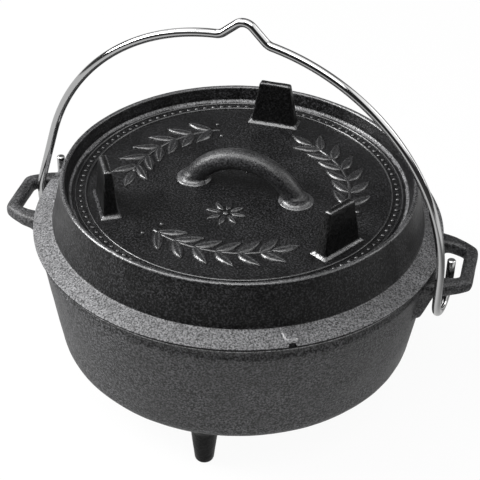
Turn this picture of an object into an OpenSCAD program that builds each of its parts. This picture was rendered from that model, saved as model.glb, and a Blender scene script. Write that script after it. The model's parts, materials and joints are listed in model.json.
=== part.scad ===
// Cast-iron camp dutch oven: a three-legged pot, a dished lid that stands on its own legs
// when it is turned over, and a steel wire bail that hooks round the side bars of the ears.
// Origin on the pot's axis, level with the bottoms of its feet. The ears lie along X.

/* [Pot] */
// Outer radius of the pot's rim
rim_r = 133; // [120:0.5:150]
// Height of the pot casting from its bottom to its rim
pot_h = 89; // [75:1:110]
// Wall thickness of the pot
pot_wall = 4.2; // [3.5:0.1:6]
// Thickness of the pot's bottom
pot_floor = 5; // [4:0.5:8]
// Slope of the pot's wall from upright, in degrees
pot_draft = 8.8; // [4:0.2:12]
// Outside radius of the pot's bottom edge
pot_edge_r = 12; // [8:0.5:16]
// Height of the out-turned rim
rim_h = 3; // [2:0.25:5]
// How far the rim stands out from the top of the wall
rim_lip = 2.2; // [1:0.2:3.5]
// Height of the hollow under the rim
cove_h = 8; // [5:0.5:12]

/* [Feet] */
// Height of the feet
foot_h = 31.5; // [20:0.5:40]
// Distance in from the rim to the middle of a foot
foot_in = 30; // [26:0.5:38]
// Radius of a foot at its root
foot_root_r = 9.5; // [7.5:0.25:10]
// Radius of a foot at its tip
foot_tip_r = 6.4; // [5:0.2:7]
// Turn of the front foot from straight ahead, in degrees
foot_turn = 3; // [-8:1:8]

/* [Ears] */
// How far the ears stand out past the rim
ear_out = 24.5; // [23:0.5:32]
// Height of the rim above the top of the ears
ear_drop = 6; // [5:0.5:12]
// Thickness of the ears
ear_t = 9; // [7:0.5:11]
// Width of the ears' side bars
bar_w = 10; // [9:0.5:12]
// Width of the ears' end bar
end_bar_w = 8; // [6:0.5:10]
// Distance from the ears' middle to the line of a side bar, where the bail hooks on
bar_y = 23.5; // [21:0.5:28]
// How much wider a side bar is where it leaves the wall
bar_root = 3; // [1:0.5:4]
// How far the side bars draw in before the outer corners
bar_in = 3.5; // [2:0.5:5]
// Distance from the ears' middle to the middle of an outer corner
corner_y = 16.5; // [12:0.5:18]
// Rounding of the ears' edges
ear_round = 2; // [1:0.25:2.5]
// Depth of the wedge under each ear
wedge_h = 20; // [12:1:30]
// Reach of the wedge out from the wall
wedge_out = 4.4; // [3:0.2:4.6]

/* [Lid] */
// How far the lid's flange stands out past the rim
flange_over = 2; // [1:0.25:3]
// Height of the lid's lip above the seat
lid_h = 35; // [28:1:45]
// How much smaller the lid's radius is at its lip than at the foot of its wall
lip_in = 6.3; // [3:0.1:10]
// Width of the lip
lip_w = 3.5; // [2.5:0.25:5]
// Depth of the dish inside the lip
dish_d = 10.5; // [7:0.5:14]
// Thickness of the lid's plate and wall
lid_t = 4.2; // [3.5:0.1:6]
// Width of the flange outside the lid's wall
ledge_w = 12.7; // [9:0.1:15]
// Height of the flange where it meets the wall
flange_h = 5.4; // [4.5:0.2:7]
// Height of the flange's outer edge
flange_edge = 1.6; // [1:0.2:2.5]
// Depth of the skirt that centres the lid
skirt_h = 5; // [3:0.5:8]
// Clearance between the skirt and the pot's wall
skirt_gap = 1.2; // [0.6:0.2:2]
// Turn of the loose lid in its seat, in degrees
lid_turn = -2; // [-6:1:6]
// Radius of the probe notch under the flange
notch_r = 2.8; // [2:0.2:3.4]
// Bearing of the probe notch, in degrees
notch_bearing = -60; // [-70:5:-50]

/* [Lid handle] */
// Thickness of the handle
grip_d = 14; // [12:0.5:18]
// Distance between the middles of the handle's feet
grip_span = 71; // [60:1:84]
// Height of the handle's top above the lid's plate
grip_h = 29; // [26:0.5:34]
// Radius of the handle's feet on the plate
grip_foot_r = 12; // [11:0.5:14]
// How far the handle stands to the right of the lid's middle
grip_right = 3.5; // [0:0.5:5]
// Turn of the handle from the line between the lid's features, in degrees
grip_turn = -5; // [-10:1:10]

/* [Lid legs] */
// Height of the lid's legs above its plate
leg_h = 31; // [20:0.5:36]
// Distance in from the lip to the middle of a leg
leg_in = 29; // [24:0.5:36]
// Width of a leg at its top
leg_top_w = 22; // [16:0.5:26]
// Width of a leg at its root
leg_root_w = 31; // [27:0.5:36]
// Thickness of a leg at its top
leg_top_t = 5.5; // [4:0.5:7]
// Thickness of a leg at its root
leg_root_t = 9; // [7.5:0.5:12]
// Radius of the fillet at the root of a leg
leg_fillet = 3.5; // [2:0.5:4.5]

/* [Lid relief] */
// Height of the relief cast on the plate
relief_h = 1.4; // [1:0.1:1.6]
// Distance between the two lines of the border
border_w = 6.6; // [4:0.2:7]
// Width of a border line
line_w = 1.4; // [1:0.1:2]
// Distance in from the legs to the stems of the sprigs
sprig_in = 15; // [13:0.5:16]
// Sweep of a sprig round the lid, in degrees
sprig_sweep = 66; // [50:1:66]
// Pairs of leaves on a sprig
leaf_pairs = 6; // [3:1:6]
// Length of a leaf
leaf_len = 19; // [15:0.5:19]
// Width of a leaf
leaf_w = 7.5; // [5:0.5:8]
// Width of a stem
stem_w = 2; // [1.5:0.25:2.5]
// Distance from the lid's middle to the middle of each small flower
flower_in = 31; // [29:0.5:32]
// Length of a petal
petal_len = 10; // [7:0.5:10]
// Width of a petal
petal_w = 4; // [3:0.25:4]
// Number of petals
petals = 8; // [5:1:8]

/* [Bail] */
// Diameter of the wire
wire_d = 5.5; // [5:0.5:7]
// How far the middle line of the bail's arch lies outside the lid's flange
arch_over = 3.5; // [3:0.25:5]
// Height of the arch's centre above the line that the hooks turn on
arch_up = 13.5; // [8:0.5:16]
// Outward slope of the left leg, in degrees
left_flare = 16; // [10:1:18]
// Outward slope of the right leg, in degrees
right_flare = 0; // [0:1:4]
// Half the distance between the bends at the foot of the hump
hump_half = 19.5; // [17:0.5:26]
// How far round the arch the hump sits to the right, in degrees
hump_shift = 1.3; // [0:0.1:2]
// Slope of the hump's sides, in degrees
hump_slope = 42; // [35:1:50]
// Bend radius at the top of the hump
hump_top_r = 8; // [6:0.5:10]
// Bend radius at the foot of the hump
hump_foot_r = 9; // [7:0.5:12]
// Clearance between a hook and the corners of its bar
hook_gap = 2; // [1.6:0.1:3]
// Free drop between the bar and the bottom of its hook
hook_drop = 9.5; // [5:0.5:12]
// Height of the hook's free end above the line that it turns on
hook_end = 12.5; // [8:0.5:18]
// Lean of the raised bail towards the back, in degrees
bail_lean = 0; // [0:1:6]

/* [Hidden] */
$fn = 96;

iron = [0.13, 0.13, 0.135];
steel = [0.78, 0.78, 0.8];

// The small fillets and roundings of the castings
rim_round = 0.8;
cove_d = 1.1;
cove_in = 0.4;
cove_out = 0.8;
soft_r = 3;
foot_tip_round = 2.6;
leg_round = 2;
relief_root = 0.5;
leg_bend_r = 20;
leg_bend_z = 4;
border_in = 1.4;
flower_eye = 3.4;
wire_end = 1;
wire_sides = 16;

// Heights, from the floor up
pot_z = foot_h;
seat_z = pot_z + pot_h;
plate_z = seat_z + lid_h - dish_d;
ear_top = seat_z - ear_drop;
ear_mid = ear_top - ear_t / 2;

// Radii of the pot's wall. It slopes in from the hollow under the rim
foot_ring = rim_r - foot_in;
ear_reach = rim_r + ear_out;
wall_top_z = seat_z - rim_h - cove_h;
wall_top_r = rim_r - rim_lip;
function wall_r(z) = wall_top_r - (wall_top_z - z) * tan(pot_draft);
function inner_r(z) = wall_r(z) - pot_wall / cos(pot_draft);
mouth_r = inner_r(seat_z);

// The lid's wall, its flat plate, and the skirt inside the pot's mouth
flange_r = rim_r + flange_over;
wall_foot_r = flange_r - ledge_w;
lip_r = wall_foot_r - lip_in;
leg_ring = lip_r - leg_in;
skirt_r = inner_r(seat_z - skirt_h) - skirt_gap;
wall_lean = atan(lip_in / (lid_h - flange_h));
dish_r = lip_r - lip_w - (dish_d - lip_w / 2) * tan(wall_lean);
plate_r = dish_r - soft_r;
border_r = plate_r - border_in;
sprig_r = leg_ring - sprig_in;

// Where a leg of the bail leaves the arch, and how far out its hook hangs
arch_r = flange_r + arch_over;
function leg_top(flare) = [0, arch_up] + arch_r * [cos(flare), sin(flare)];
function hook_x(flare) =
    let (drop = leg_top(flare).y - leg_bend_z - leg_bend_r * sin(flare))
    leg_top(flare).x + drop * tan(flare) + leg_bend_r * (1 - cos(flare));

// The bail turns on the line through one side bar of each ear
hook_out = (hook_x(left_flare) + hook_x(right_flare)) / 2;
bail_turn = asin(bar_y / hook_out);
bar_x = hook_out * cos(bail_turn);
shoulder = [ear_reach - end_bar_w - 1, bar_y - bar_in];
crossing = bail_turn + atan(bar_in / (shoulder.x - bar_x));
bar_half = bar_w / 2 / cos(crossing) + wire_d / 2 * tan(crossing);
hook_r = norm([bar_half, ear_t / 2]) + hook_gap + wire_d / 2;
hook_low = ear_t / 2 + hook_drop + wire_d / 2;

// Points along an arc in the plane, from one bearing to another
function arc(c, r, a0, a1, n) = [for (i = [0:n]) c + r * [cos(a0 + (a1 - a0) * i / n), sin(a0 + (a1 - a0) * i / n)]];

// The outside of the pot as a solid of revolution, which the ears and feet are cut against
module pot_outline() {
    edge_z = pot_z + pot_edge_r;
    edge_c = [wall_r(edge_z) - pot_edge_r / cos(pot_draft), edge_z];
    polygon(concat(
        [[0, pot_z]],
        arc(edge_c, pot_edge_r, -90, -pot_draft, 8),
        [[wall_top_r, wall_top_z]],
        [[wall_top_r - cove_d, wall_top_z + cove_h * cove_in]],
        [[wall_top_r - cove_d, wall_top_z + cove_h * cove_out]],
        [[rim_r, seat_z - rim_h]],
        arc([rim_r - rim_round, seat_z - rim_round], rim_round, 0, 90, 4),
        [[0, seat_z]]
    ));
}

module pot_hollow() {
    floor_z = pot_z + pot_floor;
    edge_r = pot_edge_r - pot_wall / 2;
    edge_z = floor_z + edge_r;
    edge_c = [inner_r(edge_z) - edge_r / cos(pot_draft), edge_z];
    polygon(concat(
        [[0, floor_z]],
        arc(edge_c, edge_r, -90, -pot_draft, 8),
        [[mouth_r - rim_round * tan(pot_draft), seat_z - rim_round]],
        [[mouth_r + rim_round, seat_z]],
        [[mouth_r + rim_round, seat_z + rim_h]],
        [[0, seat_z + rim_h]]
    ));
}

module pot_body() {
    color(iron)
        rotate_extrude()
            difference() {
                pot_outline();
                pot_hollow();
            }
}

// A tapered foot with a rounded tip, cut to the pot's bottom edge
module foot(bearing) {
    root_z = pot_z + pot_edge_r;
    slope = (foot_root_r - foot_tip_r) / foot_h;
    color(iron)
        difference() {
            rotate(bearing + foot_turn)
                translate([foot_ring, 0, 0])
                    rotate_extrude()
                        polygon(concat(
                            [[0, 0]],
                            arc([foot_tip_r - foot_tip_round, foot_tip_round], foot_tip_round, -90, 0, 6),
                            [[foot_root_r - slope * soft_r, foot_h - soft_r]],
                            [[foot_root_r + soft_r * 0.3, foot_h - soft_r * 0.3]],
                            [[foot_root_r + soft_r, foot_h + soft_r * 0.3]],
                            [[foot_root_r + soft_r, root_z]],
                            [[0, root_z]]
                        ));
            rotate_extrude()
                pot_outline();
        }
}

module front_foot() { foot(-90); }

module right_foot() { foot(30); }

module left_foot() { foot(150); }

// One rounded stub of the ear's bar, standing upright
module ear_stub(w) {
    rotate_extrude($fn = 32)
        polygon(concat(
            [[0, -ear_t / 2]],
            arc([w / 2 - ear_round, -ear_t / 2 + ear_round], ear_round, -90, 0, 3),
            arc([w / 2 - ear_round, ear_t / 2 - ear_round], ear_round, 0, 90, 3),
            [[0, ear_t / 2]]
        ));
}

module ear_bar(a, wa, b, wb) {
    hull() {
        translate(a)
            ear_stub(wa);
        translate(b)
            ear_stub(wb);
    }
}

// A loop of rounded bars with a wedge under its root, cut to the pot's wall
module ear() {
    root = [wall_r(ear_mid) - bar_w / 4, bar_y + bar_root / 2];
    corner = [ear_reach - end_bar_w / 2, corner_y];
    color(iron)
        difference() {
            translate([0, 0, ear_mid])
                union() {
                    for (side = [-1, 1]) {
                        ear_bar([root.x, root.y * side], bar_w + bar_root, [bar_x, bar_y * side], bar_w);
                        ear_bar([bar_x, bar_y * side], bar_w, [shoulder.x, shoulder.y * side], end_bar_w);
                        ear_bar([shoulder.x, shoulder.y * side], end_bar_w, [corner.x, corner.y * side], end_bar_w);
                    }
                    ear_bar([corner.x, -corner.y], end_bar_w, [corner.x, corner.y], end_bar_w);
                    ear_wedge(root);
                }
            rotate_extrude()
                pot_outline();
        }
}

// The wedge that carries the ear, thickest just under the loop
module ear_wedge(root) {
    wall_x = wall_r(ear_mid);
    half = root.y + (bar_w + bar_root) / 2 - ear_round;
    rotate([90, 0, 0])
        translate([0, 0, -half])
            linear_extrude(2 * half)
                polygon(concat(
                    [[root.x - 3 * bar_w, ear_t / 2 - ear_round]],
                    [[root.x - 3 * bar_w, -ear_t / 2 - wedge_h]],
                    [[wall_x - wedge_h * tan(pot_draft), -ear_t / 2 - wedge_h]],
                    [[wall_x + wedge_out, -ear_t / 2]],
                    [[wall_x + wedge_out, -ear_t / 2 + ear_round]],
                    [[wall_x + ear_round, ear_t / 2 - ear_round]]
                ));
}

module right_ear() { ear(); }

module left_ear() { rotate(180) ear(); }

// The lid without its handle and legs
module lid_outline() {
    lip_c = [lip_r - lip_w / 2, seat_z + lid_h - lip_w / 2];
    under_z = plate_z - lid_t;
    under_r = lip_r - lid_t / cos(wall_lean) + (seat_z + lid_h - under_z) * tan(wall_lean);
    polygon(concat(
        [[0, under_z]],
        arc([under_r - soft_r, under_z - soft_r], soft_r, 90, 0, 5),
        [[skirt_r - lid_t, seat_z + soft_r]],
        [[skirt_r - lid_t, seat_z - skirt_h + 1]],
        [[skirt_r - lid_t + 1, seat_z - skirt_h]],
        [[skirt_r - 1, seat_z - skirt_h]],
        [[skirt_r, seat_z - skirt_h + 1]],
        [[skirt_r, seat_z]],
        [[flange_r - 0.4, seat_z]],
        [[flange_r, seat_z + 0.4]],
        [[flange_r - 0.3, seat_z + flange_edge]],
        [[flange_r - 3, seat_z + flange_edge + (flange_h - flange_edge) * 0.4]],
        [[wall_foot_r + 3, seat_z + flange_h - 0.4]],
        [[wall_foot_r, seat_z + flange_h + 0.4]],
        [[wall_foot_r - 1.2, seat_z + flange_h + 2.2]],
        arc(lip_c, lip_w / 2, 0, 180, 8),
        arc([dish_r - soft_r, plate_z + soft_r], soft_r, 0, -90, 6),
        [[0, plate_z]]
    ));
}

// The outline of a leaf that grows along X, widest before its middle
module leaf(length, width) {
    steps = 6;
    function half_w(t) = width / 2 * sin(180 * pow(t, 0.8));
    polygon(concat(
        [for (i = [0:steps]) [length * i / steps, half_w(i / steps)]],
        [for (i = [steps - 1:-1:1]) [length * i / steps, -half_w(i / steps)]]
    ));
}

// A curved stem with pairs of slanting leaves, centred on the X axis
module sprig() {
    slant = 42;
    from = -sprig_sweep / 2;
    pitch = sprig_sweep / leaf_pairs;
    polygon(concat(
        arc([0, 0], sprig_r + stem_w / 2, from, -from, 24),
        arc([0, 0], sprig_r - stem_w / 2, -from, from, 24)
    ));
    for (i = [0:leaf_pairs - 1], side = [-1, 1])
        rotate(from + pitch * (i + 0.4))
            translate([sprig_r, 0])
                rotate(90 + side * slant)
                    leaf(leaf_len, leaf_w);
    rotate(-from)
        translate([sprig_r, -stem_w / 2])
            rotate(90)
                leaf(leaf_len, leaf_w);
}

module flower() {
    for (i = [0:petals - 1])
        rotate(360 / petals * i)
            translate([flower_eye, 0])
                leaf(petal_len, petal_w);
    circle(stem_w, $fn = 24);
}

// Low relief on the plate: a border of two lines, a sprig between each two legs, and two flowers
module relief() {
    for (r = [border_r, border_r - border_w])
        rotate_extrude()
            polygon([
                [r - line_w / 2, -relief_root],
                [r + line_w / 2, -relief_root],
                [r + line_w / 4, relief_h],
                [r - line_w / 4, relief_h]
            ]);
    translate([0, 0, -relief_root])
        linear_extrude(relief_root + relief_h) {
            for (bearing = [30, 150, 270])
                rotate(bearing)
                    sprig();
            for (bearing = [90, 270])
                rotate(bearing)
                    translate([flower_in, 0])
                        flower();
        }
}

// The flat middle of the lid
module lid_plate() {
    color(iron)
        union() {
            rotate_extrude()
                intersection() {
                    lid_outline();
                    square([plate_r, seat_z + lid_h]);
                }
            rotate(lid_turn)
                translate([0, 0, plate_z])
                    relief();
        }
}

// The lid's wall, lip, flange and skirt
module lid_rim() {
    color(iron)
        rotate(lid_turn)
            difference() {
                rotate_extrude()
                    difference() {
                        lid_outline();
                        square([plate_r, seat_z + lid_h]);
                    }
                rotate(notch_bearing)
                    translate([skirt_r - 2 * lid_t, 0, seat_z])
                        rotate([0, 90, 0])
                            cylinder(r = notch_r, h = flange_r, $fn = 32);
            }
}

// A round bar bent to an arc, on two spread feet
module lid_handle() {
    rise = grip_h - grip_d / 2;
    bow_r = (pow(grip_span / 2, 2) + pow(rise, 2)) / 2 / rise;
    spread_h = 5;
    edge_t = 0.4;
    color(iron)
        rotate(lid_turn)
            translate([grip_right, 0, plate_z])
                rotate(grip_turn)
                    intersection() {
                        union() {
                            translate([0, 0, rise - bow_r])
                                rotate([90, 0, 0])
                                    rotate_extrude()
                                        translate([bow_r, 0])
                                            circle(d = grip_d);
                            for (side = [-1, 1])
                                translate([side * grip_span / 2, 0, 0])
                                    rotate_extrude()
                                        polygon(concat(
                                            [[0, 0], [grip_foot_r, 0]],
                                            arc([grip_foot_r, spread_h], spread_h - edge_t, -90, -175, 6),
                                            [[0, spread_h]]
                                        ));
                        }
                        cylinder(r = grip_span, h = grip_span);
                    }
}

// Half of a leg's outline, seen from one side, with its rounded top and spread root
function leg_side(top, root) = concat(
    [[root / 2 + leg_fillet, 0]],
    arc([root / 2 + leg_fillet, leg_fillet], leg_fillet, -110, -170, 4),
    arc([top / 2 - leg_round, leg_h - leg_round], leg_round, 10, 90, 5)
);

function both_sides(half) = concat(half, [for (i = [len(half) - 1:-1:0]) [-half[i].x, half[i].y]]);

module leg_view(top, root, depth) {
    rotate([90, 0, 0])
        translate([0, 0, -depth / 2])
            linear_extrude(depth)
                polygon(both_sides(leg_side(top, root)));
}

// A slab leg, tapered in width and thickness
module lid_leg(bearing) {
    deep = leg_root_w * 2;
    color(iron)
        rotate(bearing + lid_turn)
            translate([leg_ring, 0, plate_z])
                intersection() {
                    leg_view(leg_top_t, leg_root_t, deep);
                    rotate(90)
                        leg_view(leg_top_w, leg_root_w, deep);
                }
}

module lid_leg_back() { lid_leg(90); }

module lid_leg_left() { lid_leg(210); }

module lid_leg_right() { lid_leg(-30); }

// The arch lies in an upright plane in front of the line that the hooks turn on
function lay(points) = [for (p = points) [p.x, -hook_r, p.y]];

// Points swung clockwise about a centre
function swung(points, c, a) =
    [for (p = points) c + [(p - c) * [cos(a), sin(a)], (p - c) * [-sin(a), cos(a)]]];

// Middle line of one half of the bail, drawn as the right one, from its top to the tip of its hook,
// which bends back under the bar and up behind it
function bail_half(flare, shift) =
    let (
        arch_c = [0, arch_up],
        foot_at = asin(hump_half / (arch_r + hump_foot_r)),
        foot_c = arch_c + (arch_r + hump_foot_r) * [sin(foot_at), cos(foot_at)],
        side_n = [sin(hump_slope), cos(hump_slope)],
        top_y = (foot_c * side_n - hump_foot_r - hump_top_r) / side_n.y,
        bend_c = [hook_x(flare) - leg_bend_r, leg_bend_z],
        turn_z = hook_r - hook_low,
        arch_step = 4,
        hook_step = 15
    )
    concat(
        lay(swung(arc([0, top_y], hump_top_r, 90, 90 - hump_slope, 4), arch_c, shift)),
        lay(swung(arc(foot_c, hump_foot_r, 270 - hump_slope, 270 - foot_at, 4), arch_c, shift)),
        lay(arc(arch_c, arch_r, 90 - foot_at - shift - arch_step, flare, 20)),
        flare > 0 ? lay(arc(bend_c, leg_bend_r, flare, 0, 3)) : [],
        [for (a = [180:hook_step:360]) [hook_x(flare), hook_r * cos(a), turn_z + hook_r * sin(a)]],
        [for (z = [hook_end - wire_end, hook_end]) [hook_x(flare), hook_r, z]]
    );

// A tube along a line that runs from hook to hook. Its rings keep one direction along the arch
// and another round the hooks, so it doesn't twist
module wire(line) {
    last = len(line) - 1;
    function unit(v) = v / norm(v);
    function ahead(i) = unit(line[min(i + 1, last)] - line[min(i, last - 1)]);
    function way(i) = unit(ahead(max(i - 1, 0)) + ahead(i));
    function in_hook(i) = line[i].y > 0.01 - hook_r;
    function across(i) = in_hook(i) ? [sign(line[i].x), 0, 0] : cross(way(i), [0, 1, 0]);
    function thick(i) = (i == 0 || i == last) ? wire_d / 2 - wire_end / 2 : wire_d / 2;
    points = [
        for (i = [0:last])
            for (j = [0:wire_sides - 1])
                let (v = across(i), u = cross(v, way(i)), a = 360 * j / wire_sides)
                line[i] + thick(i) * (cos(a) * u + sin(a) * v)
    ];
    sides = [
        for (i = [0:last - 1])
            for (j = [0:wire_sides - 1])
                let (k = (j + 1) % wire_sides, p = i * wire_sides, q = p + wire_sides)
                each [[p + j, q + j, q + k], [p + j, q + k, p + k]]
    ];
    caps = [
        [for (j = [0:wire_sides - 1]) j],
        [for (j = [wire_sides - 1:-1:0]) last * wire_sides + j]
    ];
    polyhedron(points, concat(sides, caps), convexity = 10);
}

// The hand-bent bail is centred between its two hooks
module bail() {
    right = bail_half(right_flare, hump_shift);
    left = bail_half(left_flare, -hump_shift);
    line = concat([for (i = [len(left) - 1:-1:1]) [-left[i].x, left[i].y, left[i].z]], right);
    color(steel)
        translate([0, 0, ear_mid])
            rotate(-bail_turn)
                rotate([-bail_lean, 0, 0])
                    translate([hook_x(left_flare) - hook_out, 0, 0])
                        wire(line);
}

pot_body();
right_ear();
left_ear();
front_foot();
right_foot();
left_foot();
lid_plate();
lid_rim();
lid_handle();
lid_leg_back();
lid_leg_left();
lid_leg_right();
bail();
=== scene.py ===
import json
import math

import bmesh
import bpy
from mathutils import Matrix, Vector, noise


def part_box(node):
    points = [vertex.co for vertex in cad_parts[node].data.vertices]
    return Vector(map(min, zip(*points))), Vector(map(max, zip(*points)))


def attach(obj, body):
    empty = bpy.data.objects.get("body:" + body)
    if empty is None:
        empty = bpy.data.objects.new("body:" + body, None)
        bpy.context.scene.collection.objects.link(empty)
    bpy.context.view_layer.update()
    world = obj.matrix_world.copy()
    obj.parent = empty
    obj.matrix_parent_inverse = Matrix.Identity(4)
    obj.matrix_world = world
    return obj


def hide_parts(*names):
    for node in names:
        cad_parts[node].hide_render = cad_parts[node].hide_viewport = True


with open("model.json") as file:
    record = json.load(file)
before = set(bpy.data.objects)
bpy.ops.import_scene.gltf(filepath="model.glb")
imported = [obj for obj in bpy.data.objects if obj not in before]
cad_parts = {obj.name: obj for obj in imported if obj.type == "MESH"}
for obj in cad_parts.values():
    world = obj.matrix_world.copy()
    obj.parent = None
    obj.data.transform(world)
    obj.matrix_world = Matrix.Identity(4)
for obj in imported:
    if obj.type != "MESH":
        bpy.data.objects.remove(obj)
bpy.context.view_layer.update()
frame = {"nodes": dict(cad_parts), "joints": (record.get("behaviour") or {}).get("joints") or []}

scene = bpy.context.scene

# Heights and radii that come from the frame, in millimetres
potLow, potHigh = (corner * 1000 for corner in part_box("pot_body"))
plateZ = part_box("lid_handle")[0].z * 1000
lidLow, lidHigh = (corner * 1000 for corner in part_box("lid_rim"))
hinge = next(joint for joint in frame["joints"] if joint["name"] == "bail_swing")
seatZ = potHigh.z
rimR = potHigh.x
flangeR = max(lidHigh.x, lidHigh.y)
lidTurn = math.radians(-2)  # not from the frame: the lid lies turned a little on the pot


# Camera, first of all: the photograph's own, worked out from the circles of the oven
photoCamera = {
    "focalPx": 1400, "framePx": 480, "sensorMm": 36,
    "azimuth": 13.49, "elevation": 36.11, "roll": 1.33,
    "distance": 0.9371, "target": (0.0012, 0.0003, 0.1028),
}


def makeCamera(settings):
    data = bpy.data.cameras.new("photoCamera")
    data.sensor_width = settings["sensorMm"]
    data.lens = settings["focalPx"] * settings["sensorMm"] / settings["framePx"]
    camera = bpy.data.objects.new("photoCamera", data)
    scene.collection.objects.link(camera)
    azimuth, elevation = math.radians(settings["azimuth"]), math.radians(settings["elevation"])
    back = Vector((math.sin(azimuth) * math.cos(elevation),
                   -math.cos(azimuth) * math.cos(elevation),
                   math.sin(elevation)))
    roll = Matrix.Rotation(math.radians(settings["roll"]), 3, "Z")
    turn = (-back).to_track_quat("-Z", "Y").to_matrix() @ roll
    camera.matrix_world = Matrix.LocRotScale(Vector(settings["target"]) + back * settings["distance"],
                                             turn.to_quaternion(), None)
    scene.camera = camera


makeCamera(photoCamera)
print("camera set")


# Small helpers for colours, nodes and meshes
def toLinear(hexColour):
    channels = [int(hexColour[i:i + 2], 16) / 255 for i in (1, 3, 5)]
    return [c / 12.92 if c <= 0.04045 else ((c + 0.055) / 1.055) ** 2.4 for c in channels] + [1]


def addNode(tree, kind, props=None, inputs=None, stops=None):
    # an input is named or counted, and takes a plain value or the output socket that feeds it.
    # The stops of a colour ramp are (position, linear colour) pairs
    node = tree.nodes.new(kind)
    for name, value in (props or {}).items():
        setattr(node, name, value)
    for name, value in (inputs or {}).items():
        if isinstance(value, bpy.types.NodeSocket):
            tree.links.new(value, node.inputs[name])
        else:
            node.inputs[name].default_value = value
    if stops:
        for element, (position, colour) in zip(node.color_ramp.elements, stops):
            element.position = position
            element.color = colour
    return node


def arcPoints(x, z, radius, start, end, count):
    angles = [math.radians(start + (end - start) * i / count) for i in range(count + 1)]
    return [(x + radius * math.cos(angle), z + radius * math.sin(angle)) for angle in angles]


def evenOut(profile, longest):
    # long straight stretches get points in between, so that the surface can be made a little uneven
    points = [profile[0]]
    for a, b in zip(profile, profile[1:]):
        parts = max(1, math.ceil(math.dist(a, b) / longest))
        for i in range(1, parts + 1):
            points.append((a[0] + (b[0] - a[0]) * i / parts, a[1] + (b[1] - a[1]) * i / parts))
    return points


def spunMesh(profile, steps):
    # the profile is (radius, height) in millimetres, turned once round the oven's axis
    bm = bmesh.new()
    verts = [bm.verts.new((r / 1000, 0, z / 1000)) for r, z in profile]
    edges = [bm.edges.new(pair) for pair in zip(verts, verts[1:])]
    bmesh.ops.spin(bm, geom=verts + edges, cent=(0, 0, 0), axis=(0, 0, 1), angle=math.tau, steps=steps,
                   use_merge=True)
    bmesh.ops.remove_doubles(bm, verts=bm.verts, dist=1e-6)
    bmesh.ops.recalc_face_normals(bm, faces=bm.faces)
    return bm


def unevenCasting(bm, amountMm, lumpMm):
    # sand casting leaves low swells that bend the highlights
    for vert in bm.verts:
        swell = noise.noise(vert.co * 1000 / lumpMm) + 0.4 * noise.noise(vert.co * 2600 / lumpMm)
        vert.co += vert.normal * swell * amountMm / 1000


def finishPiece(name, bm, materials, body, nodes=()):
    mesh = bpy.data.meshes.new(name)
    for face in bm.faces:
        face.smooth = True
    bm.to_mesh(mesh)
    bm.free()
    for material in materials:
        mesh.materials.append(material)
    piece = bpy.data.objects.new(name, mesh)
    scene.collection.objects.link(piece)
    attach(piece, body)
    if nodes:
        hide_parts(*nodes)
    return piece


# Sand-cast grey iron, seasoned with baked oil: near black, a pebbly skin that breaks the light
# into sparks, and a low greasy gloss. The grain is drawn about twice as coarse as it is, so that it shows
castIronSkin = {"grainDetail": 1.5, "blotchMm": 22, "blotchDark": "#c4c4c4", "blotchRange": (0.3, 0.7),
                "pitMm": 2.6, "pitDepthMm": 0.25, "pitStrength": 0.5}
castIronSettings = {
    # dry outer wall, dark grey with an even fine sparkle
    "pot": {"dark": "#0a0a0b", "light": "#666668", "from": 0.4, "to": 0.7,
            "grainMm": 1.25, "grainHeight": 0.2, "roughLow": 0.4, "roughHigh": 0.58, "gloss": 0.5},
    # oiled plate and wall of the lid, nearly black
    "lid": {"dark": "#030303", "light": "#3e3e40", "from": 0.46, "to": 0.7,
            "grainMm": 1.15, "grainHeight": 0.18, "roughLow": 0.28, "roughHigh": 0.44, "gloss": 0.34},
    # rough seat flange, dull, the palest of all: painted light, where it faces up to the softbox
    "ledge": {"dark": "#202021", "light": "#98989a", "from": 0.34, "to": 0.68,
              "grainMm": 1.1, "grainHeight": 0.3, "roughLow": 0.5, "roughHigh": 0.7, "gloss": 0.5},
    # fillet of the dish and lower edge of the pot's rim, a pale line of painted highlight, on the rim's edge
    # over rubbed wear
    "edge": {"dark": "#1a1a1b", "light": "#a8a8aa", "from": 0.36, "to": 0.7,
             "grainMm": 1.1, "grainHeight": 0.18, "roughLow": 0.26, "roughHigh": 0.4, "gloss": 0.6},
    # top of the lip and roots of the legs, a thin bright line of painted highlight, on the lip over polish
    # from use
    "lip": {"dark": "#161617", "light": "#747476", "from": 0.34, "to": 0.8,
            "grainMm": 1.0, "grainHeight": 0.14, "roughLow": 0.2, "roughHigh": 0.32, "gloss": 0.95},
    # raised pattern, dark as the plate but shiny on its crests
    "relief": {"dark": "#0b0b0c", "light": "#4c4c4e", "from": 0.36, "to": 0.8,
               "grainMm": 1.0, "grainHeight": 0.14, "roughLow": 0.18, "roughHigh": 0.28, "gloss": 1.0},
    # feet and the gap under the flange, painted near black with little shine: painted shade
    "foot": {"dark": "#040404", "light": "#1e1e1f", "from": 0.4, "to": 0.75,
             "grainMm": 1.15, "grainHeight": 0.18, "roughLow": 0.3, "roughHigh": 0.46, "gloss": 0.12},
    # smooth faces of the lid's legs, the blackest: painted shade
    "leg": {"dark": "#040404", "light": "#262627", "from": 0.44, "to": 0.74,
            "grainMm": 1.15, "grainHeight": 0.18, "roughLow": 0.28, "roughHigh": 0.4, "gloss": 0.3},
    # handle, handled smooth, with a soft broad highlight; its speckle, paler than the lid's, is painted
    # glints
    "handle": {"dark": "#09090a", "light": "#5a5a5c", "from": 0.38, "to": 0.8,
               "grainMm": 1.0, "grainHeight": 0.16, "roughLow": 0.3, "roughHigh": 0.44, "gloss": 0.55},
    # outer and left faces of the hood over the notch, pale and bright: painted highlight where the light
    # falls
    "hoodHighlight": {"dark": "#5c5c5e", "light": "#dededf", "from": 0.36, "to": 0.66,
             "grainMm": 1.1, "grainHeight": 0.2, "roughLow": 0.3, "roughHigh": 0.45, "gloss": 0.6},
}


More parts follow.
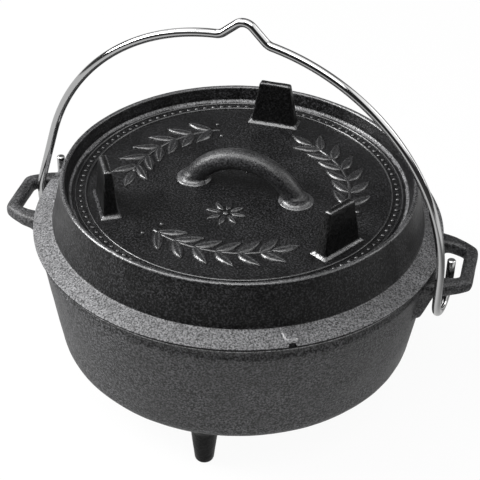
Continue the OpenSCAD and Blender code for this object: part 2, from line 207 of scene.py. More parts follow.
def seasonedCastIron(name, settings):
    material = bpy.data.materials.new(name)
    material.use_nodes = True
    tree = material.node_tree
    shader = tree.nodes["Principled BSDF"]
    place = addNode(tree, "ShaderNodeTexCoord").outputs["Object"]
    skin = castIronSkin
    low, high = skin["blotchRange"]
    grain = addNode(tree, "ShaderNodeTexNoise", inputs={
        "Vector": place, "Scale": 1000 / settings["grainMm"], "Detail": skin["grainDetail"],
        "Roughness": 0.6})
    blotch = addNode(tree, "ShaderNodeTexNoise", inputs={
        "Vector": place, "Scale": 1000 / skin["blotchMm"], "Detail": 4, "Roughness": 0.55})
    pits = addNode(tree, "ShaderNodeTexVoronoi", inputs={
        "Vector": place, "Scale": 1000 / skin["pitMm"], "Randomness": 1})
    speckle = addNode(tree, "ShaderNodeValToRGB", inputs={"Fac": grain.outputs["Fac"]}, stops=[
        (settings["from"], toLinear(settings["dark"])), (settings["to"], toLinear(settings["light"]))])
    patches = addNode(tree, "ShaderNodeValToRGB", inputs={"Fac": blotch.outputs["Fac"]}, stops=[
        (low, toLinear(skin["blotchDark"])), (high, toLinear("#ffffff"))])
    tint = addNode(tree, "ShaderNodeMix", {"data_type": "RGBA", "blend_type": "MULTIPLY"}, {
        "Factor": 1, "A": speckle.outputs["Color"], "B": patches.outputs["Color"]})
    rough = addNode(tree, "ShaderNodeMapRange", inputs={
        "Value": blotch.outputs["Fac"], "From Min": low, "From Max": high,
        "To Min": settings["roughLow"], "To Max": settings["roughHigh"]})
    pitted = addNode(tree, "ShaderNodeBump", inputs={
        "Strength": skin["pitStrength"], "Distance": skin["pitDepthMm"] / 1000,
        "Height": pits.outputs["Distance"]})
    grained = addNode(tree, "ShaderNodeBump", inputs={
        "Strength": 1, "Distance": settings["grainHeight"] / 1000, "Height": grain.outputs["Fac"],
        "Normal": pitted.outputs["Normal"]})
    tree.links.new(tint.outputs["Result"], shader.inputs["Base Color"])
    tree.links.new(rough.outputs["Result"], shader.inputs["Roughness"])
    tree.links.new(grained.outputs["Normal"], shader.inputs["Normal"])
    shader.inputs["Specular IOR Level"].default_value = settings["gloss"]
    return material


# Stainless spring wire, drawn and left bright: hard streaks of light and dark along its length
wireSettings = {"colour": "#cacaca", "roughLow": 0.07, "roughHigh": 0.12, "scuffMm": 14,
                "scuffRange": (0.35, 0.7), "dentMm": 0.006, "dentStrength": 0.3}


def brightDrawnWire(settings):
    material = bpy.data.materials.new("brightDrawnStainlessWire")
    material.use_nodes = True
    tree = material.node_tree
    shader = tree.nodes["Principled BSDF"]
    place = addNode(tree, "ShaderNodeTexCoord").outputs["Object"]
    scuffs = addNode(tree, "ShaderNodeTexNoise", inputs={
        "Vector": place, "Scale": 1000 / settings["scuffMm"], "Detail": 1})
    low, high = settings["scuffRange"]
    rough = addNode(tree, "ShaderNodeMapRange", inputs={
        "Value": scuffs.outputs["Fac"], "From Min": low, "From Max": high,
        "To Min": settings["roughLow"], "To Max": settings["roughHigh"]})
    dents = addNode(tree, "ShaderNodeBump", inputs={
        "Strength": settings["dentStrength"], "Distance": settings["dentMm"] / 1000,
        "Height": scuffs.outputs["Fac"]})
    shader.inputs["Base Color"].default_value = toLinear(settings["colour"])
    shader.inputs["Metallic"].default_value = 1
    tree.links.new(rough.outputs["Result"], shader.inputs["Roughness"])
    tree.links.new(dents.outputs["Normal"], shader.inputs["Normal"])
    return material


potIron = seasonedCastIron("seasonedCastIronPot", castIronSettings["pot"])
lidIron = seasonedCastIron("seasonedCastIronLid", castIronSettings["lid"])
ledgeIronPaintedLight = seasonedCastIron("roughCastIronLedgePaintedLight", castIronSettings["ledge"])
rubbedEdgeIronPaintedHighlight = seasonedCastIron("rubbedCastIronEdgesPaintedHighlight", castIronSettings["edge"])
rubbedLipIronPaintedHighlight = seasonedCastIron("rubbedCastIronLipPaintedHighlight", castIronSettings["lip"])
reliefIron = seasonedCastIron("seasonedCastIronRelief", castIronSettings["relief"])
footIronPaintedShade = seasonedCastIron("castIronFeetPaintedShade", castIronSettings["foot"])
legIronPaintedShade = seasonedCastIron("smoothCastIronLegsPaintedShade", castIronSettings["leg"])
handleIronPaintedGlints = seasonedCastIron("pebblyCastIronHandlePaintedGlints", castIronSettings["handle"])
hoodIronPaintedHighlight = seasonedCastIron("castIronHoodPaintedHighlight", castIronSettings["hoodHighlight"])
wireSteel = brightDrawnWire(wireSettings)
print("materials made")


# The pot
pot = {"wall": 4.2, "floor": 5, "draft": 8.8, "edgeR": 12, "rimH": 3, "rimLip": 2.2, "rubbedHighlightH": 1.1,
       "coveH": 8, "coveDepth": 1.1, "coveTurnIn": 0.4, "round": 0.8, "steps": 288, "stretch": 3,
       "unevenMm": 0.22, "lumpMm": 26, "rimBand": 0.6,
       # the hollow under the rim turns in over a shoulder and sweeps out again: share of depth, height
       "cove": ((0.2, 0.4), (0.5, 1.2), (0.8, 2.3), (0.97, 3.4), (1, 4.4), (1, 5.6), (0.9, 6.4), (0.5, 7.1))}
wallTopR, wallTopZ = rimR - pot["rimLip"], seatZ - pot["rimH"] - pot["coveH"]
slope = math.tan(math.radians(pot["draft"]))


def potWallR(z):
    # outside radius of the pot at a height, the hollow under the rim included
    if z <= wallTopZ:
        return wallTopR - (wallTopZ - z) * slope
    return wallTopR - pot["coveDepth"] * min(1, (z - wallTopZ) / (pot["coveH"] * pot["coveTurnIn"]))


def potInnerR(z):
    return wallTopR - (wallTopZ - z) * slope - pot["wall"] / math.cos(math.radians(pot["draft"]))


def potProfile():
    lean = math.cos(math.radians(pot["draft"]))
    edgeZ = potLow.z + pot["edgeR"]
    floorZ = potLow.z + pot["floor"]
    innerR = pot["edgeR"] - pot["wall"] / 2
    small = pot["round"]
    # the bottom, its rounded edge, the wall, and the hollow under the rim
    outside = [(0, potLow.z)]
    outside += arcPoints(potWallR(edgeZ) - pot["edgeR"] / lean, edgeZ, pot["edgeR"], -90, -pot["draft"], 10)
    outside += [(wallTopR - small * slope, wallTopZ - small), (wallTopR - 0.15, wallTopZ - 0.1)]
    outside += [(wallTopR - pot["coveDepth"] * depth, wallTopZ + height) for depth, height in pot["cove"]]
    # the rim's underside, face and top
    rimZ = seatZ - pot["rimH"]
    outside += [(wallTopR + 0.7, rimZ - 0.3), (rimR - 0.4, rimZ + 0.05)]
    outside += [(rimR, rimZ + 0.35), (rimR, rimZ + 1.15)]
    outside += arcPoints(rimR - small, seatZ - small, small, 0, 90, 5)
    # the mouth and the inside, down to the floor
    mouthR = potInnerR(seatZ)
    inside = [(mouthR + small, seatZ), (mouthR - small * slope, seatZ - small)]
    inside += reversed(arcPoints(potInnerR(floorZ + innerR) - innerR / lean, floorZ + innerR, innerR,
                                 -90, -pot["draft"], 10))
    inside += [(0, floorZ)]
    return outside + inside


potMesh = spunMesh(evenOut(potProfile(), pot["stretch"]), pot["steps"])
unevenCasting(potMesh, pot["unevenMm"], pot["lumpMm"])
for face in potMesh.faces:
    # the rim's lower edge is rubbed and painted pale as a highlight, the gap above it is painted shade
    centre = face.calc_center_median() * 1000
    onRim = math.hypot(centre.x, centre.y) > rimR - pot["rimBand"]
    rubbedHighlight = centre.z < seatZ - pot["rimH"] + pot["rubbedHighlightH"]
    face.material_index = 0 if not onRim else 1 if rubbedHighlight else 2
finishPiece("potCasting", potMesh, [potIron, rubbedEdgeIronPaintedHighlight, footIronPaintedShade], "pot", ["pot_body"])
print("pot made")


# Castings' small features: the frame's own solid, rooted in its neighbour, softened as sand leaves it
def softenedCopy(node, voxelMm, rootedAt, passes=3):
    bm = bmesh.new()
    bm.from_mesh(frame["nodes"][node].data)
    bmesh.ops.remove_doubles(bm, verts=bm.verts, dist=1e-6)
    for vert in bm.verts:
        vert.co += rootedAt(vert.co * 1000) / 1000
    mesh = bpy.data.meshes.new(node + "Rooted")
    bm.to_mesh(mesh)
    bm.free()
    helper = bpy.data.objects.new(node + "Helper", mesh)
    scene.collection.objects.link(helper)
    remesh = helper.modifiers.new("voxels", "REMESH")
    remesh.mode = "VOXEL"
    remesh.voxel_size = voxelMm / 1000
    bm = bmesh.new()
    bm.from_object(helper, bpy.context.evaluated_depsgraph_get())
    bpy.data.objects.remove(helper)
    bpy.data.meshes.remove(mesh)
    for _ in range(passes):
        bmesh.ops.smooth_vert(bm, verts=bm.verts, factor=0.5,
                              use_axis_x=True, use_axis_y=True, use_axis_z=True)
    return bm


def flareAt(bm, filletMm, distanceTo, normalOf):
    # pushes the skin out next to the neighbour it grows from, as a cast fillet does
    bm.normal_update()
    for vert in bm.verts:
        away = distanceTo(vert.co * 1000)
        if away < filletMm:
            away = max(away, 0)
            grow = filletMm - math.sqrt(filletMm ** 2 - (filletMm - away) ** 2)
            outward = normalOf(vert.co)
            side = vert.normal - outward * vert.normal.dot(outward)
            if side.length > 0.2:
                vert.co += side.normalized() * grow / 1000


ear = {"voxelMm": 0.8, "rootMm": 2.6, "nearMm": 0.35, "filletMm": 3.2, "passes": 24, "fillMm": 0.45,
       "unevenMm": 0.12, "lumpMm": 9}


def wallDistance(point):
    return math.hypot(point.x, point.y) - potWallR(point.z)


def wallNormal(point):
    return Vector((point.x, point.y, 0)).normalized()


def rootInWall(point):
    if abs(wallDistance(point)) < ear["nearMm"]:
        return -wallNormal(point) * ear["rootMm"]
    return Vector()


for node, name in (("right_ear", "rightEar"), ("left_ear", "leftEar")):
    mesh = softenedCopy(node, ear["voxelMm"], rootInWall, ear["passes"])
    mesh.normal_update()
    for vert in mesh.verts:
        # so much smoothing thins the bars, this fills them again
        vert.co += vert.normal * ear["fillMm"] / 1000
    flareAt(mesh, ear["filletMm"], wallDistance, wallNormal)
    unevenCasting(mesh, ear["unevenMm"], ear["lumpMm"])
    finishPiece(name, mesh, [potIron], "pot", [node])

foot = {"voxelMm": 0.8, "rootMm": 2.5, "nearMm": 0.1, "unevenMm": 0.12, "lumpMm": 9}


def rootInBottom(point):
    # the bottom's plane and the round edge beside it
    if point.z > potLow.z - foot["nearMm"]:
        return Vector((0, 0, foot["rootMm"]))
    return Vector()


# the feet are painted near black, painted shade
for node, name in (("front_foot", "frontFoot"), ("right_foot", "rightFoot"), ("left_foot", "leftFoot")):
    mesh = softenedCopy(node, foot["voxelMm"], rootInBottom)
    unevenCasting(mesh, foot["unevenMm"], foot["lumpMm"])
    finishPiece(name, mesh, [footIronPaintedShade], "pot", [node])
print("ears and feet made")


# The lid
lid = {"lipIn": 6.3, "lipW": 3.5, "dish": 10.5, "wall": 4.2, "ledgeW": 12.7, "ledgeH": 5.4, "edgeH": 1.6,
       "edgeRound": 0.9, "swell": 0.35, "skirt": 5, "skirtGap": 1.2, "skirtRound": 1, "soft": 3,
       "steps": 288, "stretch": 3, "unevenMm": 0.16, "lumpMm": 30,
       # where the casting gets a painted highlight, over rubbed wear on the lip, and where it gets painted
       # shade, as heights over the plate or the seat or under the lip
       "rubbedHighlightLip": 1.1, "highlightFillet": (0.15, 1.9), "paintedShadeGap": 0.9, "slack": 0.3}
wallFootR = flangeR - lid["ledgeW"]
lipR = wallFootR - lid["lipIn"]
lipZ = lidHigh.z
skirtR = potInnerR(seatZ - lid["skirt"]) - lid["skirtGap"]
lidLean = math.atan(lid["lipIn"] / (lipZ - seatZ - lid["ledgeH"]))
dishR = lipR - lid["lipW"] - (lid["dish"] - lid["lipW"] / 2) * math.tan(lidLean)
plateR = dishR - lid["soft"]


def lidProfile():
    soft, lip = lid["soft"], lid["lipW"] / 2
    underZ = plateZ - lid["wall"]
    underR = lipR - lid["wall"] / math.cos(lidLean) + (lipZ - underZ) * math.tan(lidLean)
    inR = skirtR - lid["wall"]
    # the underside of the plate, the skirt, and the underside and edge of the flange
    points = [(0, underZ)]
    points += arcPoints(underR - soft, underZ - soft, soft, 90, 0, 6)
    small, low, edge = lid["skirtRound"], 0.5, lid["edgeRound"]
    points += [(inR, seatZ + soft), (inR, lidLow.z + small)]
    points += arcPoints(inR + small, lidLow.z + small, small, 180, 270, 3)
    points += arcPoints(skirtR - small, lidLow.z + small, small, 270, 360, 3)
    points += [(skirtR, seatZ), (flangeR - low, seatZ)]
    points += arcPoints(flangeR - low, seatZ + low, low, -90, 0, 3)
    points += arcPoints(flangeR - edge, seatZ + lid["edgeH"] - edge, edge, 0, 70, 4)
    # the ledge swells a little between its edge and the wall
    rise = lid["ledgeH"] - lid["edgeH"]
    for t in (0.15, 0.3, 0.45, 0.6, 0.75, 0.9):
        up = rise * (t + lid["swell"] * t * (1 - t)) - 0.1
        points.append((flangeR - 1 - (lid["ledgeW"] - 2.2) * t, seatZ + lid["edgeH"] + up))
    # the outer wall, the lip and the dish
    ledgeTop = seatZ + lid["ledgeH"]
    points += [(wallFootR + 0.7, ledgeTop + 0.1), (wallFootR - 0.1, ledgeTop + 0.8)]
    points += [(wallFootR - 0.7, ledgeTop + 2.2)]
    points += arcPoints(lipR - lip, lipZ - lip, lip, 6, 180, 9)
    points += arcPoints(dishR - soft, plateZ + soft, soft, 0, -90, 7)
    return points + [(0, plateZ)]


def cutNotch(bm):
    # a half-round way for a probe's lead, from the skirt out under the flange
    helpers = []
    for name in ("lidWhole", "notchCutter"):
        mesh = bpy.data.meshes.new(name)
        helper = bpy.data.objects.new(name, mesh)
        scene.collection.objects.link(helper)
        helpers.append(helper)
    whole, cutter = helpers
    bm.to_mesh(whole.data)
    rod = bmesh.new()
    length = flangeR + notch["rodExtra"] - skirtR
    along = Matrix.Rotation(math.radians(notch["bearing"]), 4, "Z") @ Matrix.Translation(
        (skirtR + length / 2 - notch["rodStart"], 0, seatZ)) @ Matrix.Rotation(math.pi / 2, 4, "Y")
    bmesh.ops.create_cone(rod, cap_ends=True, segments=40, radius1=notch["radius"], radius2=notch["radius"],
                          depth=length, matrix=along)
    bmesh.ops.scale(rod, verts=rod.verts, vec=(0.001, 0.001, 0.001))
    rod.to_mesh(cutter.data)
    rod.free()
    cut = whole.modifiers.new("notch", "BOOLEAN")
    cut.operation = "DIFFERENCE"
    cut.solver = "EXACT"
    cut.object = cutter
    bm.clear()
    bm.from_object(whole, bpy.context.evaluated_depsgraph_get())
    for helper in helpers:
        mesh = helper.data
        bpy.data.objects.remove(helper)
        bpy.data.meshes.remove(mesh)
    # the cut's own edges stay sharp, the round ones of the casting don't
    for edge in bm.edges:
        if len(edge.link_faces) == 2 and edge.calc_face_angle() > math.radians(notch["sharpFrom"]):
            middle = (edge.verts[0].co + edge.verts[1].co) / 2 * 1000
            if (middle - notchMouth).length < notch["reach"]:
                edge.smooth = False


# the hood's half width, height over the seat and distance from the axis, at its inner and its outer end
notch = {"bearing": -62, "radius": 2.8, "rodStart": 1, "rodExtra": 4, "sharpFrom": 38, "reach": 18,
         "hoodW": (5.4, 3.9), "hoodTop": (6.4, 5.0), "hoodR": (121.5, 133), "hoodFoot": 0.6, "hoodBevel": 1.1}
notchMouth = Vector((flangeR * math.cos(math.radians(notch["bearing"])),
                     flangeR * math.sin(math.radians(notch["bearing"])), seatZ))
lidMesh = spunMesh(evenOut(lidProfile(), lid["stretch"]), lid["steps"])
unevenCasting(lidMesh, lid["unevenMm"], lid["lumpMm"])
cutNotch(lidMesh)
slack, (filletFrom, filletTo) = lid["slack"], lid["highlightFillet"]
# painted light on the ledge, painted highlight on the dish's fillet and on the lip over its wear, painted
# shade in the gap under the flange
for face in lidMesh.faces:
    centre = face.calc_center_median() * 1000
    radius = math.hypot(centre.x, centre.y)
    overSeat, overPlate = centre.z - seatZ, centre.z - plateZ
    onLedge = radius > wallFootR - slack and slack < overSeat < lid["ledgeH"] + 2 * slack
    onLip = centre.z > lipZ - lid["rubbedHighlightLip"]
    inFillet = filletFrom < overPlate < filletTo and radius < lipR - lid["lipW"]
    inGap = radius > flangeR - 2 * slack and overSeat < lid["paintedShadeGap"]
    face.material_index = 4 if inGap else 1 if onLedge else 2 if inFillet else 3 if onLip else 0
finishPiece("lidCasting", lidMesh, [lidIron, ledgeIronPaintedLight, rubbedEdgeIronPaintedHighlight, rubbedLipIronPaintedHighlight, footIronPaintedShade], "lid",
            ["lid_plate", "lid_rim"])

# a low hood thickens the flange over the notch
hood = bmesh.new()
for vert in bmesh.ops.create_cube(hood, size=2)["verts"]:
    outer = 1 if vert.co.x > 0 else 0
    high = seatZ + (notch["hoodTop"][outer] if vert.co.z > 0 else notch["radius"] * notch["hoodFoot"])
    vert.co = Vector((notch["hoodR"][outer], vert.co.y * notch["hoodW"][outer], high)) / 1000
bmesh.ops.bevel(hood, geom=hood.edges[:], offset=notch["hoodBevel"] / 1000, segments=4, profile=0.5,
                affect="EDGES", material=-1)
hood.normal_update()
for face in hood.faces:
    # its outer and left faces are painted bright, a painted highlight where the light falls
    face.material_index = 1 if face.normal.y < -0.3 or face.normal.x > 0.5 else 0
bmesh.ops.transform(hood, verts=hood.verts, matrix=Matrix.Rotation(math.radians(notch["bearing"]), 4, "Z"))
finishPiece("probeNotchHood", hood, [ledgeIronPaintedLight, hoodIronPaintedHighlight], "lid")
print("lid made")

# The lid's handle and legs grow out of the plate
lidFeature = {"voxelMm": 0.8, "rootMm": 2.2, "nearMm": 0.05, "unevenMm": 0.15, "lumpMm": 9,
              "rootShine": (-1, 1.8), "rootUp": 0.35, "topShine": 1.2, "topUp": (0.4, 0.9)}


def rootInPlate(point):
    if point.z < plateZ + lidFeature["nearMm"]:
        return Vector((0, 0, -lidFeature["rootMm"]))
    return Vector()


(rootFrom, rootTo), (topFrom, topTo) = lidFeature["rootShine"], lidFeature["topUp"]
for node, name in (("lid_handle", "lidHandle"), ("lid_leg_back", "lidLegBack"),
                   ("lid_leg_left", "lidLegLeft"), ("lid_leg_right", "lidLegRight")):
    mesh = softenedCopy(node, lidFeature["voxelMm"], rootInPlate)
    unevenCasting(mesh, lidFeature["unevenMm"], lidFeature["lumpMm"])
    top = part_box(node)[1].z * 1000
    for face in mesh.faces:
        # the fillet at the root and a leg's top edge get a painted highlight, where they face up at a slant
        # to the light
        height, up = face.calc_center_median().z * 1000, face.normal.z
        atRoot = plateZ + rootFrom < height < plateZ + rootTo and up > lidFeature["rootUp"]
        atTop = node != "lid_handle" and height > top - lidFeature["topShine"] and topFrom < up < topTo
        face.material_index = 1 if atRoot or atTop else 0
    # the legs' iron is painted shade, the handle's speckle painted glints, and the root and top edges painted
    # highlight
    irons = [handleIronPaintedGlints if node == "lid_handle" else legIronPaintedShade, rubbedLipIronPaintedHighlight]
    finishPiece(name, mesh, irons, "lid", [node])
print("handle and legs made")


# Relief cast into the dish: a beaded border, three leafy sprigs between the legs, and small flowers.
# A leaf's size is its length, width and height, a bead's its diameter and height
relief = {"lineR": (plateR - 8, plateR - 1.4), "lineW": 1.6, "lineH": 1.3, "lineSunk": 0.5,
          "stepDegrees": 2.5, "beadR": plateR - 4.7, "bead": (2.8, 1), "beads": 108,
          "sprigsAt": (30, 150, 270), "sprigR": 72, "sprigHalf": 33, "stemW": 2.2, "stemH": 1,
          "leaf": (19, 7.6, 1.6), "pairs": 6, "firstPair": 0.4, "leafLean": 42, "tipBack": 0.8,
          "berry": (3, 1.2), "berryAside": 7.5, "berryBack": 4.2,
          "flowersAt": (90, 270), "flowerR": 31, "petalFrom": 3.4, "petal": (10, 4.4, 1.5), "petals": 8,
          "heart": (4.4, 1.6), "veinDepth": 0.45, "veinWidth": 0.16, "ribHeight": 0.16, "ribs": 4,
          "ribSlant": 0.9, "leafSunk": 0.6}


def ridgeRing(bm, radius, width, height, start=0, sweep=360):
    # a low half-round ridge on the plate, all round or part of the way
    count = 5
    across = [(radius + width / 2 * math.cos(math.pi * i / count), height * math.sin(math.pi * i / count))
              for i in range(count + 1)]
    across += [(radius - width / 2, -relief["lineSunk"]), (radius + width / 2, -relief["lineSunk"])]
    turn = Matrix.Rotation(math.radians(start) + lidTurn, 4, "Z")
    verts = [bm.verts.new(turn @ Vector((r / 1000, 0, (plateZ + h) / 1000))) for r, h in across]
    face = bm.faces.new(verts)
    whole = sweep == 360
    steps = max(6, round(sweep / relief["stepDegrees"]))
    bmesh.ops.spin(bm, geom=[face] if not whole else face.edges[:] + verts, cent=(0, 0, 0), axis=(0, 0, 1),
                   angle=math.radians(sweep), steps=steps, use_merge=whole)
    if whole:
        bmesh.ops.delete(bm, geom=[face], context="FACES_ONLY")


def placedOn(radius, bearing, heading):
    # a spot on the plate: its distance from the axis, its bearing, and which way the piece points
    bearing, heading = math.radians(bearing) + lidTurn, math.radians(heading) + lidTurn
    spot = Vector((radius * math.cos(bearing), radius * math.sin(bearing), plateZ)) / 1000
    return Matrix.Translation(spot) @ Matrix.Rotation(heading, 4, "Z")


def vertsOf(items):
    return [item for item in items if isinstance(item, bmesh.types.BMVert)]


def edgesOf(items):
    return [item for item in items if isinstance(item, bmesh.types.BMEdge)]


def addLeaf(bm, place, size):
    # a domed oval with a sunk vein and faint ribs, closed underneath
    length, width, height = size
    made = bmesh.ops.create_grid(bm, x_segments=10, y_segments=8, size=0.5)["verts"]
    for vert in made:
        # the outline and the dome are sines, made fuller or slimmer by their powers
        along, across = vert.co.x + 0.5, vert.co.y * 2
        half = width / 2 * math.sin(math.pi * along ** 0.8) ** 0.75 if 0 < along < 1 else 0
        dome = (1 - across ** 4) * math.sin(math.pi * (0.08 + 0.84 * along)) ** 0.4
        vein = relief["veinDepth"] * math.exp(-(across / relief["veinWidth"]) ** 2)
        wave = math.cos(math.tau * (along * relief["ribs"] - abs(across) * relief["ribSlant"]))
        rib = relief["ribHeight"] * wave * abs(across) * (1 - across ** 2)
        vert.co = Vector((along * length, across * half, height * (dome * (1 - vein) + rib))) / 1000
    bmesh.ops.remove_doubles(bm, verts=made, dist=1e-5)
    made = [vert for vert in made if vert.is_valid]
    rim = [edge for edge in {edge for vert in made for edge in vert.link_edges} if edge.is_boundary]
    skirt = bmesh.ops.extrude_edge_only(bm, edges=rim)["geom"]
    low = vertsOf(skirt)
    for vert in low:
        vert.co.z -= relief["leafSunk"] / 1000
    bmesh.ops.edgeloop_fill(bm, edges=[edge for edge in edgesOf(skirt) if edge.is_boundary])
    bmesh.ops.transform(bm, verts=made + low, matrix=place)


def addBoss(bm, place, diameter, height):
    # a small domed bead
    made = bmesh.ops.create_icosphere(bm, subdivisions=2, radius=0.5)["verts"]
    for vert in made:
        vert.co = Vector((vert.co.x * diameter, vert.co.y * diameter, vert.co.z * 2 * height)) / 1000
    bmesh.ops.transform(bm, verts=made, matrix=place)


border = bmesh.new()
for radius in relief["lineR"]:
    ridgeRing(border, radius, relief["lineW"], relief["lineH"])
for i in range(relief["beads"]):
    addBoss(border, placedOn(relief["beadR"], 360 * i / relief["beads"], 0), *relief["bead"])
bmesh.ops.recalc_face_normals(border, faces=border.faces)
finishPiece("reliefBorder", border, [reliefIron], "lid")

sprigs = bmesh.new()
for middle in relief["sprigsAt"]:
    start, end = middle - relief["sprigHalf"], middle + relief["sprigHalf"]
    ridgeRing(sprigs, relief["sprigR"], relief["stemW"], relief["stemH"], start, end - start)
    for i in range(relief["pairs"]):
        bearing = start + (end - start) * (i + relief["firstPair"]) / relief["pairs"]
        for side in (-1, 1):
            spot = placedOn(relief["sprigR"], bearing, bearing + 90 + side * relief["leafLean"])
            addLeaf(sprigs, spot, relief["leaf"])
            berry = placedOn(relief["sprigR"] - side * relief["berryAside"], bearing - relief["berryBack"], 0)
            addBoss(sprigs, berry, *relief["berry"])
    addLeaf(sprigs, placedOn(relief["sprigR"], end - relief["tipBack"], end + 90), relief["leaf"])
bmesh.ops.recalc_face_normals(sprigs, faces=sprigs.faces)
finishPiece("reliefSprigs", sprigs, [reliefIron], "lid")

flowers = bmesh.new()
for bearing in relief["flowersAt"]:
    spot = placedOn(relief["flowerR"], bearing, 0)
    for i in range(relief["petals"]):
        turned = spot @ Matrix.Rotation(math.tau * i / relief["petals"], 4, "Z") @ Matrix.Translation(
            (relief["petalFrom"] / 1000, 0, 0))
        addLeaf(flowers, turned, relief["petal"])
    addBoss(flowers, spot, *relief["heart"])
bmesh.ops.recalc_face_normals(flowers, faces=flowers.faces)
finishPiece("reliefFlowers", flowers, [reliefIron], "lid")
print("relief made")


# The bail: one wire, bent step by step from the top of its hump to the tip of each hook, in mm and
# degrees. Its left leg flares out and is bent straight again above the ear, its right leg hangs straight
bail = {"wire": 5.5, "archOver": 3.5, "archUp": 13.5, "leftFlare": 16, "rightFlare": 0,
        "humpHalf": 19.5, "humpShift": 1.3, "humpSlope": 42, "humpTopR": 8, "humpFootR": 9,
        "legBendR": 20, "legBendZ": 4, "barY": 23.5, "barW": 10, "barIn": 3.5, "endBar": 8, "earT": 9,
        "hookGap": 2, "hookDrop": 9.5, "hookEnd": 12.5, "tip": ((0.9, 0.45), (0.68, 0.35)), "sides": 32,
        "humpSteps": 10, "archSteps": 72, "legSteps": 6, "hookSteps": 32}
archR = flangeR + bail["archOver"]


def hookX(flare):
    # how far out a hook hangs, for a leg that slopes outward by the flare
    angle = math.radians(flare)
    drop = bail["archUp"] + archR * math.sin(angle) - bail["legBendZ"] - bail["legBendR"] * math.sin(angle)
    return archR * math.cos(angle) + drop * math.tan(angle) + bail["legBendR"] * (1 - math.cos(angle))


def bendHalf(bm, flare, shift, hookR, mirrored):
    # one half of the wire, drawn as the right one
    b = bail
    radius = b["wire"] / 2
    turnZ = hookR - (b["earT"] / 2 + b["hookDrop"] + radius)
    footAt = math.asin(b["humpHalf"] / (archR + b["humpFootR"]))
    archC = Vector((0, -hookR, b["archUp"]))
    humpFoot = archC + Vector((math.sin(footAt), 0, math.cos(footAt))) * (archR + b["humpFootR"])
    steep, slant = math.radians(b["humpSlope"]), math.radians(flare)
    sideN = Vector((math.sin(steep), 0, math.cos(steep)))
    topZ = ((humpFoot - Vector((0, -hookR, 0))).dot(sideN) - b["humpFootR"] - b["humpTopR"]) / sideN.z
    humpTop = Vector((0, -hookR, topZ))
    bendC = Vector((hookX(flare) - b["legBendR"], -hookR, b["legBendZ"]))
    archEnd = archC + archR * Vector((math.cos(slant), 0, math.sin(slant)))
    turned = Matrix.Rotation(math.radians(shift), 4, "Y")
    swing = Matrix.Translation(archC) @ turned @ Matrix.Translation(-archC)

    before = set(bm.verts)
    start = swing @ Matrix.Translation(humpTop + Vector((0, 0, b["humpTopR"])))
    ring = bmesh.ops.create_circle(bm, segments=b["sides"], radius=radius,
                                   matrix=start @ Matrix.Rotation(math.pi / 2, 4, "Y"))["verts"]
    end = ring + list({edge for vert in ring for edge in vert.link_edges})

    def bend(centre, axis, degrees, steps):
        nonlocal end
        end = bmesh.ops.spin(bm, geom=end, cent=centre, axis=axis, angle=math.radians(degrees),
                             steps=steps)["geom_last"]

    def run(step):
        nonlocal end
        made = bmesh.ops.extrude_edge_only(bm, edges=edgesOf(end))["geom"]
        end = vertsOf(made) + [edge for edge in edgesOf(made) if edge.is_boundary]
        bmesh.ops.translate(bm, verts=vertsOf(end), vec=step)

    across = (0, 1, 0)
    footDegrees = math.degrees(footAt)
    bend(swing @ humpTop, across, b["humpSlope"], b["humpSteps"])
    run(turned @ (humpFoot - sideN * b["humpFootR"] - humpTop - sideN * b["humpTopR"]))
    bend(swing @ humpFoot, across, footDegrees - b["humpSlope"], b["humpSteps"])
    bend(archC, across, 90 - flare - footDegrees - shift, b["archSteps"])
    if flare:
        run(bendC + b["legBendR"] * Vector((math.cos(slant), 0, math.sin(slant))) - archEnd)
        bend(bendC, across, flare, b["legSteps"])
    run(Vector((0, 0, turnZ - (b["legBendZ"] if flare else b["archUp"]))))
    bend(Vector((hookX(flare), 0, turnZ)), (1, 0, 0), 180, b["hookSteps"])
    run(Vector((0, 0, b["hookEnd"] - sum(rise for shrink, rise in b["tip"]) - turnZ)))
    for shrink, rise in b["tip"]:
        # the cut end is rounded over
        run(Vector((0, 0, rise)))
        tip = vertsOf(end)
        middle = sum((vert.co for vert in tip), Vector()) / len(tip)
        bmesh.ops.scale(bm, verts=tip, vec=(shrink, shrink, 1), space=Matrix.Translation(-middle))
    bmesh.ops.edgeloop_fill(bm, edges=edgesOf(end))
    if mirrored:
        bmesh.ops.scale(bm, verts=[vert for vert in bm.verts if vert not in before], vec=(-1, 1, 1))


def bentWire():
    b = bail
    radius = b["wire"] / 2
    hookOut = (hookX(b["leftFlare"]) + hookX(b["rightFlare"])) / 2
    turn = math.asin(b["barY"] / hookOut)
    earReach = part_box("right_ear")[1].x * 1000
    # the wire crosses the ear's bar at a slant, which the hook has to clear
    crossing = turn + math.atan(b["barIn"] / (earReach - b["endBar"] - 1 - hookOut * math.cos(turn)))
    barHalf = b["barW"] / 2 / math.cos(crossing) + radius * math.tan(crossing)
    hookR = math.hypot(barHalf, b["earT"] / 2) + b["hookGap"] + radius
    bm = bmesh.new()
    bendHalf(bm, b["rightFlare"], b["humpShift"], hookR, False)
    bendHalf(bm, b["leftFlare"], -b["humpShift"], hookR, True)
    bmesh.ops.remove_doubles(bm, verts=bm.verts, dist=0.01)
    bmesh.ops.recalc_face_normals(bm, faces=bm.faces)
    # the wire hangs centred between its two hooks, turned so that each goes round a side bar of an ear
    bmesh.ops.translate(bm, verts=bm.verts, vec=(hookX(b["leftFlare"]) - hookOut, 0, 0))
    bmesh.ops.scale(bm, verts=bm.verts, vec=(0.001, 0.001, 0.001))
    hung = Matrix.Translation(hinge["pos_m"]) @ Matrix.Rotation(-turn, 4, "Z")
    bmesh.ops.transform(bm, verts=bm.verts, matrix=hung)
    return bm


finishPiece("wireBail", bentWire(), [wireSteel], "bail", ["bail"])
print("bail made")


